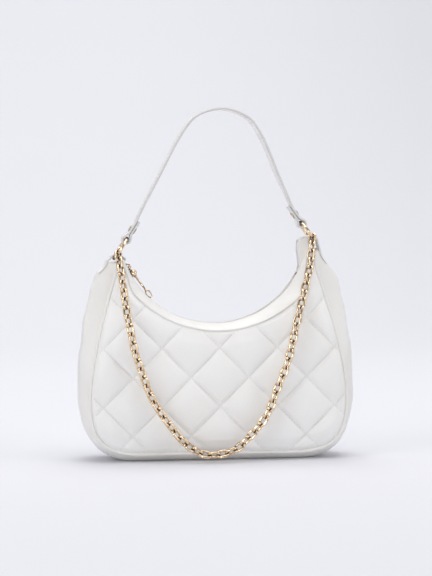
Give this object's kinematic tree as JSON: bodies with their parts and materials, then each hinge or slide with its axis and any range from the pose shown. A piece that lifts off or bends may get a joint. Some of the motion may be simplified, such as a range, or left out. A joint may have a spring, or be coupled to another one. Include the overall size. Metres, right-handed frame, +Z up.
{
  "type": "quilted shoulder bag",
  "caption": "Small crescent shoulder bag of quilted leather with a curved zipped mouth, a short leather strap on rings and a chain of oval links hung across its front.",
  "frame": {"origin": "middle of the flat base that the bag stands on", "axes": "+Z up, +X towards the bag's right wing as seen from the front, -Y towards the front panel with the chain"},
  "size_m": [0.2646, 0.0776, 0.3366],
  "materials": {
    "quilted_leather": "soft off-white leather over foam, stitched in diamonds",
    "smooth_leather": "smooth off-white leather, satin",
    "lining_cloth": "plain woven cloth",
    "zip_tape": "woven tape",
    "zip_teeth": "moulded resin",
    "gold_metal": "polished warm gold plating"
  },
  "bodies": {
    "bag": {"front_panel": "quilted_leather", "back_panel": "quilted_leather", "side_gusset": "smooth_leather", "front_piping": "smooth_leather", "back_piping": "smooth_leather", "front_top_strip": "smooth_leather", "back_top_strip": "smooth_leather", "front_zip_tape": "zip_tape", "back_zip_tape": "zip_tape", "front_zip_teeth": "zip_teeth", "back_zip_teeth": "zip_teeth", "left_zip_stop": "gold_metal", "right_zip_stop": "gold_metal", "left_tab": "smooth_leather", "right_tab": "smooth_leather", "left_chain_end_link": "gold_metal", "right_chain_end_link": "gold_metal", "lining": "lining_cloth", "slip_pocket": "lining_cloth"},
    "left_ring_body": {"left_ring": "gold_metal"},
    "right_ring_body": {"right_ring": "gold_metal"},
    "strap": {"shoulder_strap": "smooth_leather", "left_strap_rivet": "gold_metal", "right_strap_rivet": "gold_metal"},
    "chain": {"hanging_chain": "gold_metal"},
    "slider": {"zip_slider": "gold_metal"},
    "pull": {"zip_pull": "gold_metal"}
  },
  "joints": [
    {"name": "zip_slide", "type": "hinge", "parent": "bag", "child": "slider", "pos_m": [-0.0025, 0, 0.22251], "axis": [0, -1, 0], "range_deg": [0, 105]},
    {"name": "pull_swing", "type": "hinge", "parent": "slider", "child": "pull", "pos_m": [-0.08454, 0, 0.18441], "axis": [0, -1, 0], "range_deg": [0, 110]},
    {"name": "strap_swing", "type": "hinge", "parent": "bag", "child": "strap", "pos_m": [-0.09212, 0, 0.2019], "axis": [0.9964, 0, 0.0842], "range_deg": [-15, 15]},
    {"name": "chain_swing", "type": "hinge", "parent": "bag", "child": "chain", "pos_m": [-0.09446, -0.01424, 0.19098], "axis": [-0.9968, -0.0083, -0.0794], "range_deg": [0, 20]},
    {"name": "left_ring_turn", "type": "hinge", "parent": "bag", "child": "left_ring_body", "pos_m": [-0.09212, 0, 0.2019], "axis": [0.8387, 0, -0.5446], "continuous": true},
    {"name": "right_ring_turn", "type": "hinge", "parent": "bag", "child": "right_ring_body", "pos_m": [0.089, 0, 0.21721], "axis": [0.809, 0, 0.5878], "continuous": true}
  ]
}
